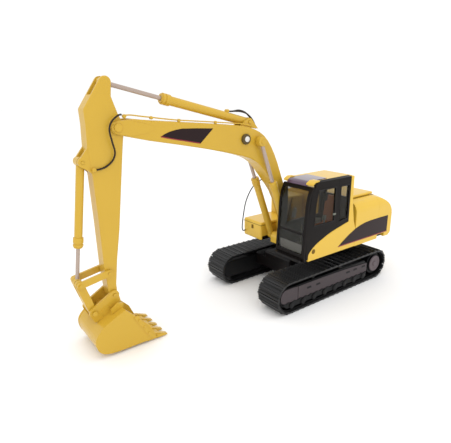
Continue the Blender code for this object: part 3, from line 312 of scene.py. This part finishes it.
def belt(travel, out):
    """(x, z) at a travel along the belt's pitch line and a distance outside it: forward along the top, round
    the front half circle, back along the ground and round the rear half circle."""
    travel = travel % (2 * (RUN + HALF))
    r = PITCH_R + out
    fore = math.pi / 2 - (travel - RUN) / PITCH_R
    aft = -math.pi / 2 - (travel - 2 * RUN - HALF) / PITCH_R
    where = [travel < RUN, travel < RUN + HALF, travel < 2 * RUN + HALF]
    runs_x = [REAR_X + travel, REAR_X + RUN + r * np.cos(fore), REAR_X + 2 * RUN + HALF - travel]
    runs_z = [AXLE_Z + r, AXLE_Z + r * np.sin(fore), AXLE_Z - r]
    x = np.select(where, runs_x, REAR_X + r * np.cos(aft))
    z = np.select(where, runs_z, AXLE_Z + r * np.sin(aft))
    return np.stack((x, z), axis=-1)


# A shoe's section: (share of the pitch, height over the pitch line).
shoe = np.array([(0.04, -0.7), (0.96, -0.7), (0.96, 0.0), (0.91, 0.0), (0.88, 0.2), (0.83, 0.2), (0.80, 0.0),
                 (0.60, 0.0), (0.56, 0.45), (0.46, 0.45), (0.42, 0.0), (0.24, 0.0), (0.21, 0.2), (0.16, 0.2),
                 (0.13, 0.0), (0.04, 0.0)])
shoe_pitch = 2 * (RUN + HALF) / SHOES
shoe_travel = (np.arange(SHOES)[:, None] + shoe[:, 0]) * shoe_pitch
section = belt(shoe_travel, np.broadcast_to(shoe[:, 1], (SHOES, len(shoe))))
band_way = np.linspace(0, 2 * (RUN + HALF), 160, endpoint=False)
band_corners = ((-1.4, -5.9), (-0.65, -5.9), (-0.65, 5.9), (-1.4, 5.9))
for side, word in SIDES:
    middle = side * GAUGE / 2
    shoes = np.stack((upright(section, middle - SHOE_HALF), upright(section, middle + SHOE_HALF)), axis=-2)
    piece = skin(f"shoes_{word}", shoes, shoe_black, "undercarriage")
    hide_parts(f"track_{word}")
    band = np.stack([upright(belt(band_way, np.full(band_way.shape, out)), middle + y)
                     for out, y in band_corners])
    skin(f"track_band_{word}", band, track_black, "undercarriage", ring=True)


# ---------------------------------------------------------------- deck, house and tail
# Die-cast body panels in glossy house yellow: the engine housing with its lid, the heavy tail, the tank and
# the storage box. Dark blank wedges with a thin red line are stuck on the sides. Seams, the lid's grooves, the
# nose recess, the latch and the louvre slots are strips of dark yellow: painted shade where these gaps fall
# dark.
SIDE_Y = 24.5
yellow_parts = material("house_paint", (0.76, 0.49, 0.05), 0.3, Coat_Weight=0.2, Coat_Roughness=0.12,
                        Specular_IOR_Level=0.3)
house_paint = cloudy(*yellow_parts, (0.76, 0.49, 0.05), (0.71, 0.45, 0.044), 1800.0, 0.12, 0.3, 0.1)
decal_dark, _, _ = material("decal_dark", (0.016, 0.0055, 0.006), 0.35, Specular_IOR_Level=0.2)
decal_red, _, _ = material("decal_red", (0.24, 0.008, 0.016), 0.35)
# Dark yellow, the house yellow as it looks in shadow: painted shade for seams, grooves and recesses.
painted_seam_shade = moulded("painted_seam_shade", (0.20, 0.115, 0.012), (0.15, 0.085, 0.009), 0.6)
dress(house_paint, *frame["record"]["behaviour"]["bodies"]["superstructure"])
dress(frame_black, "deck", "front_step", "handrail")

# The right wedge starts behind the tank, so it leaves out the first five points of the left one.
wedge_top = np.array([(-2.0, 23.7), (-4.4, 25.3), (-6.9, 26.7), (-9.4, 28.1), (-11.9, 29.2), (-14.4, 30.3),
                      (-17.9, 31.3), (-21.9, 32.0), (-25.9, 32.3), (-34.3, 32.4), (-41.4, 32.3)])
wedge_foot = np.stack((wedge_top[:, 0], np.linspace(23.5, 23.4, len(wedge_top))), axis=-1)
for side, word, first in ((1, "left", 0), (-1, "right", 5)):
    y = side * (SIDE_Y - 0.1)
    foot, top = wedge_foot[first:], wedge_top[first:]
    slab(f"side_wedge_{word}", upright(foot, y), upright(top, y), (0, side * 0.15, 0),
         decal_dark, "superstructure")
    slab(f"side_line_{word}", upright(foot, y), upright(foot + (0, 0.45), y), (0, side * 0.18, 0),
         decal_red, "superstructure")
# The nose recess is a dark yellow disc: painted shade in the hollow.
recess = [(0, SIDE_Y - 0.1), (1.15, SIDE_Y - 0.1), (1.15, SIDE_Y + 0.03), (0.7, SIDE_Y + 0.06),
          (0, SIDE_Y + 0.06)]
turned("nose_recess", [(15.2, 25.4)], recess, painted_seam_shade, "superstructure", 24)
# A dark yellow strip along each side of the lid: painted shade in its groove.
LID_Z = 43.35
for side, word in SIDES:
    slab(f"lid_groove_shade_{word}", [(-34.6, side * 18.5, LID_Z), (-15.6, side * 18.5, LID_Z)],
         [(-34.6, side * 19.0, LID_Z), (-15.6, side * 19.0, LID_Z)], (0, 0, 0.2),
         painted_seam_shade, "superstructure")
# The storage box's lid seams and latch are dark yellow strips: painted shade in their grooves.
lid_line = np.array([(16.26, -24.56, 29.0), (16.26, -10.4, 29.0), (-2.7, -10.4, 29.0)])
lid_rise = (0, 0, 0.22)
slab("box_lid_line", lid_line[:2], lid_line[:2] + lid_rise, (-0.2, 0, 0),
     painted_seam_shade, "superstructure")
slab("box_lid_line_side", lid_line[1:], lid_line[1:] + lid_rise, (0, -0.2, 0),
     painted_seam_shade, "superstructure")
slab("box_latch", [(16.2, -17.8, 26.3), (16.2, -16.6, 26.3)], [(16.2, -17.8, 28.2), (16.2, -16.6, 28.2)],
     (0.35, 0, 0), painted_seam_shade, "superstructure")
# The louvre slots are dark yellow strips: painted shade between the slats.
LOUVRES = 7
louvre_x = -28.6 + 1.5 * np.arange(LOUVRES)[:, None]
louvre_low = np.stack((louvre_x + (0, 0.8), np.full((LOUVRES, 2), -24.4), np.full((LOUVRES, 2), 34.0)), axis=-1)
slab("louvres", louvre_low, louvre_low + (0, 0, 3.6), (0, -0.25, 0), painted_seam_shade, "superstructure")


# ---------------------------------------------------------------- cab
# A brown-black plastic frame holding clear panes with a smoky tint, under a yellow roof with a tinted hatch.
# The frames are pressed in from outside, so a thin dark gasket runs round each pane.
pillar_parts = material("pillar", (0.009, 0.0068, 0.006), 0.28, Specular_IOR_Level=0.1)
pillar = cloudy(*pillar_parts, (0.009, 0.0068, 0.006), (0.006, 0.0046, 0.004), 4000.0, 0.1, 0.3, 0.1)
inside_grey = moulded("inside_grey", (0.22, 0.23, 0.19), (0.13, 0.14, 0.115), 0.6)
screen_tint, _, _ = material("screen_tint", (0.018, 0.018, 0.012), 0.04, Alpha=0.36, Specular_IOR_Level=0.5)
seat_cloth = moulded("seat_cloth", (0.42, 0.15, 0.055), (0.30, 0.105, 0.04), 0.8)
tinted, _, _ = material("tinted", (0.02, 0.018, 0.011), 0.04, Alpha=0.24, Specular_IOR_Level=0.5)
hatch_tint, _, _ = material("hatch_tint", (0.085, 0.04, 0.085), 0.1, Coat_Weight=0.6, Coat_Roughness=0.05)
dress(pillar, "cab_door", "cab_quarter_frame", "cab_right_wall", "cab_rear_wall")
dress(inside_grey, "cab_interior")
dress(seat_cloth, "seat")
dress(tinted, "door_glass", "quarter_glass", "right_glass", "rear_glass")

# The windscreen stands on a slim frame with a raked head; a narrow bar parts its two panes, and a pale sill
# shows behind the foot of the lower one. The front follows a quartic x(z) through five heights.
FOOT_Z, HEAD_Z = 21.5, 55.2
PANE_RIGHT, PANE_LEFT = 7.5, 22.9
front_curve = np.polyfit((FOOT_Z, 30.0, 43.0, 52.2, HEAD_Z), (21.2, 21.1, 20.2, 18.7, 17.3), 4)


def windscreen_line(y0, y1, z0, z1, back, count=24):
    """Points behind the front's curve: (x(z) - back, y, z), from (y0, z0) to (y1, z1)."""
    y, z = np.linspace(y0, y1, count), np.linspace(z0, z1, count)
    return np.stack((np.polyval(front_curve, z) - back, y, z), axis=-1)


posts = [(windscreen_line(y0, y0, FOOT_Z, HEAD_Z, 0), windscreen_line(y1, y1, FOOT_Z, HEAD_Z, 0))
         for y0, y1 in ((6.4, PANE_RIGHT), (PANE_LEFT, 24.5))]
right_edges, left_edges = zip(*posts)
frame_piece = slab("windscreen_pillars", right_edges, left_edges, (-1.1, 0, 0),
                   pillar, "superstructure")
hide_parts("windscreen_frame")
for name, z0, z1 in (("foot", FOOT_Z, 24.6), ("bar", 33.7, 34.4), ("head", 53.6, HEAD_Z)):
    slab(f"windscreen_{name}", windscreen_line(PANE_RIGHT, PANE_LEFT, z0, z0, 0.05),
         windscreen_line(PANE_RIGHT, PANE_LEFT, z1, z1, 0.05), (-1.0, 0, 0), pillar, "superstructure")
for name, z0, z1 in (("lower", 24.6, 33.7), ("upper", 34.4, 53.6)):
    sheet_right = windscreen_line(PANE_RIGHT, PANE_RIGHT, z0, z1, 0.35)
    sheet_left = windscreen_line(PANE_LEFT, PANE_LEFT, z0, z1, 0.35)
    pane = slab(f"windscreen_pane_{name}", sheet_right, sheet_left, (-0.25, 0, 0),
                screen_tint, "superstructure")
    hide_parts(f"windscreen_{name}")
sill_grey = moulded("sill_grey", (0.62, 0.61, 0.56), (0.48, 0.47, 0.43), 0.5)
slab("lower_sill", [(19.0, 7.7, 24.3), (19.0, 22.8, 24.3)], [(19.5, 7.7, 28.6), (19.5, 22.8, 28.6)],
     (0.5, 0, 0), sill_grey, "superstructure")

# The roof is one yellow pressing. A dark rail covers its left edge, and the tinted hatch reaches its front.
slab("roof_rail", [(-8.4, 22.6, 57.0), (13.6, 22.6, 57.0), (16.2, 22.6, 56.2)],
     [(-8.4, 24.55, 56.6), (13.6, 24.55, 56.6), (16.0, 24.55, 55.6)], (0, 0, 0.5),
     pillar, "superstructure")
hatch_line = np.array([(4.2, 0, 57.35), (14.8, 0, 57.35), (16.3, 0, 57.1), (17.0, 0, 56.5), (17.2, 0, 55.4)])
hatch = slab("roof_hatch_panel", hatch_line + (0, 8.6, 0), hatch_line + (0, 20.6, 0), (-0.35, 0, -0.6),
             hatch_tint, "superstructure")
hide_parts("roof_hatch")
for word, y0, y1 in (("left", 20.4, 24.0), ("right", 6.4, 8.8)):
    slab(f"roof_corner_{word}", [(12.8, y0, 57.1), (15.4, y0, 57.1), (17.4, y0, 56.0)],
         [(12.8, y1, 57.1), (15.2, y1, 57.1), (16.8, y1, 56.0)], (0, 0, 0.7),
         house_paint, "superstructure")

# Inside are a small monitor by the right post and the seat's two armrests; outside, the wiper and the handle.
slab("monitor", [(13.4, 8.6, 38.2), (14.6, 10.8, 38.2)], [(12.6, 8.6, 42.4), (13.8, 10.8, 42.4)],
     (-0.9, 0.4, 0), inside_grey, "superstructure")
for word, y in (("left", 19.6), ("right", 8.6)):
    slab(f"armrest_{word}", [(-5.2, y, 32.4), (3.4, y, 32.4)], [(-5.2, y, 33.6), (3.4, y, 33.2)],
         (0, 1.8, 0), seat_cloth, "superstructure")
slab("wiper", windscreen_line(12.0, 14.4, 36.0, 49.5, -0.05), windscreen_line(12.3, 14.7, 36.0, 49.5, -0.05),
     (0.22, 0, 0), pillar, "superstructure")
slab("door_handle", [(1.6, 24.45, 40.5), (3.4, 24.45, 40.5)], [(1.6, 24.45, 41.3), (3.4, 24.45, 41.3)],
     (0, 0.45, 0), inside_grey, "superstructure")
gasket_rows = [[(15.75, 37.25), (15.15, 46.0), (13.75, 53.55), (1.85, 53.55), (1.85, 37.25)],
               [(-1.45, 36.05), (-1.45, 53.55), (-7.55, 53.55), (-7.55, 36.85)]]
GASKET_IN, GASKET_OUT = 24.4, 24.62
for name, outline in zip(("door_gasket", "quarter_gasket"), gasket_rows):
    outline = np.array(outline)
    inner = outline + (outline.mean(0) - outline) * 0.05
    lines = np.stack((upright(outline, GASKET_IN), upright(outline, GASKET_OUT),
                      upright(inner, GASKET_OUT), upright(inner, GASKET_IN)))
    skin(name, lines, frame_black, "superstructure", ring=True)


# ---------------------------------------------------------------- boom
# A die-cast box beam in a slightly duller arm yellow, cranked over the tower. A work lamp sits on its left
# cheek, a blank dark wedge is stuck on each side of the front half, and a thin pipe lies along its back.
ARM_Y = -2.0
CHEEK = 4.15
arm_parts = material("arm_paint", (0.615, 0.386, 0.038), 0.34, Coat_Weight=0.15, Coat_Roughness=0.15,
                     Specular_IOR_Level=0.3)
arm_paint = cloudy(*arm_parts, (0.615, 0.386, 0.038), (0.575, 0.355, 0.033), 1800.0, 0.12, 0.34, 0.1)
lens_white, _, _ = material("lens_white", (0.72, 0.70, 0.66), 0.12, Coat_Weight=0.5)
ring_dark = moulded("ring_dark", (0.12, 0.085, 0.03), (0.09, 0.06, 0.02), 0.5)
bodies = frame["record"]["behaviour"]["bodies"]
arm_bodies = ("boom", "boom_cylinders", "stick", "stick_cylinder", "bucket_cylinder", "guide_links",
              "power_link", "bucket")
dress(arm_paint, *[node for body in arm_bodies for node in bodies[body]])
dress(lens_white, "boom_lamp")
ring_profile = [(0, 2.3), (2.25, 2.3), (2.25, 3.1), (2.1, 3.35), (1.45, 3.35), (1.4, 3.22), (0, 3.22)]
turned("lamp_ring", [(36.85, 75.7)], ring_profile, ring_dark, "boom")
lens_profile = [(0, 3.1), (1.3, 3.1), (1.2, 3.4), (0.8, 3.6), (0, 3.68)]
turned("lamp_lens", [(36.6, 75.7)], lens_profile, lens_white, "boom")
boom_top = np.array([(77.4, 79.6), (75.6, 80.5), (73.5, 81.2), (71.0, 81.7), (68.1, 82.0), (61.0, 81.7),
                     (53.6, 81.2)])
boom_foot = np.array([(77.4, 79.4), (75.0, 78.8), (72.4, 78.2), (69.6, 77.6), (66.6, 77.0), (63.4, 76.3),
                      (60.0, 75.6)])
for side, word in SIDES:
    y = ARM_Y + side * CHEEK
    slab(f"boom_wedge_{word}", upright(boom_foot, y), upright(boom_top, y), (0, side * 0.12, 0),
         decal_dark, "boom")
    slab(f"boom_line_{word}", upright(boom_foot, y), upright(boom_foot + (0, 0.4), y), (0, side * 0.15, 0),
         decal_red, "boom")

# The nose narrows to two cheek plates over the stick's pin, each ground to a shallow facet.
cheek_foot = [(96.0, 83.0), (93.0, 81.4), (88.5, 80.6), (83.8, 81.2), (79.6, 82.4)]
cheek_head = [(96.0, 84.4), (93.6, 86.3), (89.4, 86.1), (84.2, 84.9), (79.6, 83.2)]
for side, word in SIDES:
    y = ARM_Y + side * CHEEK
    slab(f"nose_cheek_{word}", upright(cheek_foot, y), upright(cheek_head, y), (0, side * 0.18, 0),
         arm_paint, "boom")
cap_profile = [(0, -6.9), (1.5, -6.9), (1.5, -6.2), (1.5, 2.2), (1.5, 2.7), (1.3, 2.95), (0, 2.95)]
turned("stick_pin_caps", [(93.85, 83.8)], cap_profile, arm_paint, "boom", 24)


# ---------------------------------------------------------------- cylinders and their eyes
# Cast cylinder barrels in arm yellow on bright rods. Each barrel ends in a ribbed gland, and each rod in an
# eye with a yellow head on both sides of its pin. The bucket rod's own bright eye shows round its head.
BOOM_FOOT, BOOM_EYE = (10.8, 23.9), (29.7, 74.3)
STICK_FOOT, STICK_EYE = (33.5, 82.7), (96.4, 99.0)
BUCKET_FOOT, BUCKET_EYE = (106.9, 72.8), (113.1, 28.9)
rod_parts = material("rod_metal", (0.46, 0.37, 0.31), 0.25, Metallic=0.3)
rod_metal = cloudy(*rod_parts, (0.46, 0.37, 0.31), (0.40, 0.31, 0.26), 3000.0, 0.1, 0.25, 0.1)
dress(rod_metal, "boom_rod_left", "boom_rod_right", "stick_rod", "bucket_rod")


def eye(name, centres, radius, y0, y1, body):
    """A turned eye between two y planes: its rims are softened, and a flat pin head stands on both sides."""
    head, pin, rim = 0.25, radius * 0.42, radius * 0.92
    profile = [(0, y0 - head), (pin, y0 - head), (pin, y0), (rim, y0), (radius, y0 + 0.15),
               (radius, y1 - 0.15), (rim, y1), (pin, y1), (pin, y1 + head), (0, y1 + head)]
    turned(name, centres, profile, arm_paint, body, 28)


def sleeve(name, foot, head, y, profile, finish, body, steps=28):
    """A profile of (distance along, radius) turned about the line from foot to head in the plane at y."""
    foot, head = upright(foot, y), upright(head, y)
    way = (head - foot) / np.linalg.norm(head - foot)
    across = np.cross(way, (0, 1, 0))
    along, r = np.asarray(profile, float).T
    t = np.linspace(0, 2 * np.pi, steps, endpoint=False)[:, None, None]
    ring = r[:, None] * (np.cos(t) * across + np.sin(t) * np.array((0.0, 1.0, 0.0)))
    return skin(name, foot + along[:, None] * way + ring, finish, body)


for name, foot, head, y, end, radius, rib, body in (
        ("boom_gland_left", BOOM_FOOT, BOOM_EYE, 4.3, 33.6, 1.9, 0.08, "boom_cylinders"),
        ("boom_gland_right", BOOM_FOOT, BOOM_EYE, -8.3, 33.6, 1.9, 0.08, "boom_cylinders"),
        ("stick_gland", STICK_FOOT, STICK_EYE, ARM_Y, 42.1, 1.9, 0.3, "stick_cylinder"),
        ("bucket_gland", BUCKET_FOOT, BUCKET_EYE, ARM_Y, 30.6, 1.55, 0.3, "bucket_cylinder")):
    ridge, groove = radius + rib, radius - 0.1
    ribs = [(end - 3.6, radius), (end - 3.4, ridge), (end - 1.6, ridge), (end - 1.5, groove),
            (end - 1.1, groove), (end - 1.0, ridge), (end - 0.3, ridge), (end, radius - 0.2)]
    sleeve(name, foot, head, y, [(end - 3.6, 0), *ribs, (end, 0)], arm_paint, body)
eye("boom_rod_eyes_left", [BOOM_EYE], 2.1, 3.0, 5.6, "boom_rods")
eye("boom_rod_eyes_right", [BOOM_EYE], 2.1, -9.6, -7.0, "boom_rods")
eye("stick_rod_eye", [STICK_EYE], 1.7, -3.65, -0.35, "stick_rod")
eye("bucket_rod_eye", [BUCKET_EYE], 1.5, -3.0, -1.0, "bucket_rod")


# ---------------------------------------------------------------- hoses and pipe
# The hoses are thin cords moulded in dark brown plastic, each held at both ends by a small ferrule. The pipe
# is painted with the boom and clipped along its back.
hose_brown = moulded("hose_brown", (0.035, 0.022, 0.016), (0.022, 0.014, 0.010), 0.45)
dress(hose_brown, "stick_hose", "cylinder_hose_left", "cylinder_hose_right")
dress(arm_paint, "boom_pipe")
ferrules = [("stick_fitting", "stick", (103.6, 70.0), 0.75, 1.0, 2.2),
            ("boom_fitting", "boom", (91.0, 87.6), 0.7, 1.2, 2.2),
            ("pipe_clip_front", "boom", (80.6, 86.6), 0.6, 1.1, 2.2),
            ("pipe_clip_middle", "boom", (69.0, 85.1), 0.6, 1.1, 2.2),
            ("pipe_clip_rear", "boom", (52.0, 83.5), 0.6, 1.1, 2.2),
            ("cylinder_port_front", "stick_cylinder", (72.6, 93.8), 0.7, -2.7, -1.3),
            ("cylinder_port_rear", "stick_cylinder", (43.4, 87.6), 0.7, -2.9, -1.1)]
for name, body, centre, radius, y0, y1 in ferrules:
    profile = [(0, y0), (radius, y0), (radius, y1 - 0.2), (radius * 0.7, y1), (0, y1)]
    turned(name, [centre], profile, arm_paint, body, 16)


# ---------------------------------------------------------------- bucket
# A rolled shell between cast cheeks. A round cross tube and gussets stiffen it between its ears, a cutter
# edges each cheek, and ribbed adapters hold the teeth along the lip.
turned("bucket_cross_tube", [(105.0, 16.3)], [(0, -6.3), (1.8, -6.3), (1.8, 2.3), (0, 2.3)],
       arm_paint, "bucket", 28)
for side, word in SIDES:
    y = ARM_Y + side * 3.2
    ear, rim, face = y + side * 1.5, y + side * 1.9, y + side * 2.05
    cap = [(0, y), (0.55, y), (0.55, ear), (0.95, ear), (0.95, rim), (0.8, face), (0, face)]
    turned(f"power_pin_cap_{word}", [(109.3, 16.7)], cap, arm_paint, "bucket", 20)
cutter_foot = [(88.6, 2.2), (92.0, 8.2), (95.0, 13.6)]
cutter_edge = [(90.4, 2.2), (93.6, 7.6), (96.6, 13.0)]
gusset_foot = [(98.9, 17.4), (101.0, 16.6), (103.9, 15.4)]
gusset_edge = [(98.9, 18.8), (101.0, 19.4), (103.9, 17.4)]
for side, word in SIDES:
    y, web_y = ARM_Y + side * 10.15, ARM_Y + side * 6.2
    slab(f"side_cutter_{word}", upright(cutter_foot, y), upright(cutter_edge, y), (0, side * 0.35, 0),
         arm_paint, "bucket")
    bolt = [(0, y), (0.45, y), (0.45, y + side * 0.6), (0.3, y + side * 0.7), (0, y + side * 0.7)]
    turned(f"cutter_bolts_{word}", [(90.9, 4.6), (92.7, 7.8), (94.6, 11.2)], bolt,
           arm_paint, "bucket", 12)
    slab(f"gusset_{word}", upright(gusset_foot, web_y), upright(gusset_edge, web_y), (0, side * 0.7, 0),
         arm_paint, "bucket")
TEETH = 5
tooth_y = ARM_Y - 9.1 + 4.55 * np.arange(TEETH)
adapter = np.array([(91.6, 2.6), (89.2, 3.1), (87.3, 2.9), (85.6, 2.1)])
low = np.stack([upright(adapter * (1, 0) + (0, 0.55), y) for y in tooth_y - 0.75])
high = np.stack([upright(adapter, y) for y in tooth_y - 0.75])
slab("tooth_adapters", low, high, (0, 1.5, 0), arm_paint, "bucket")
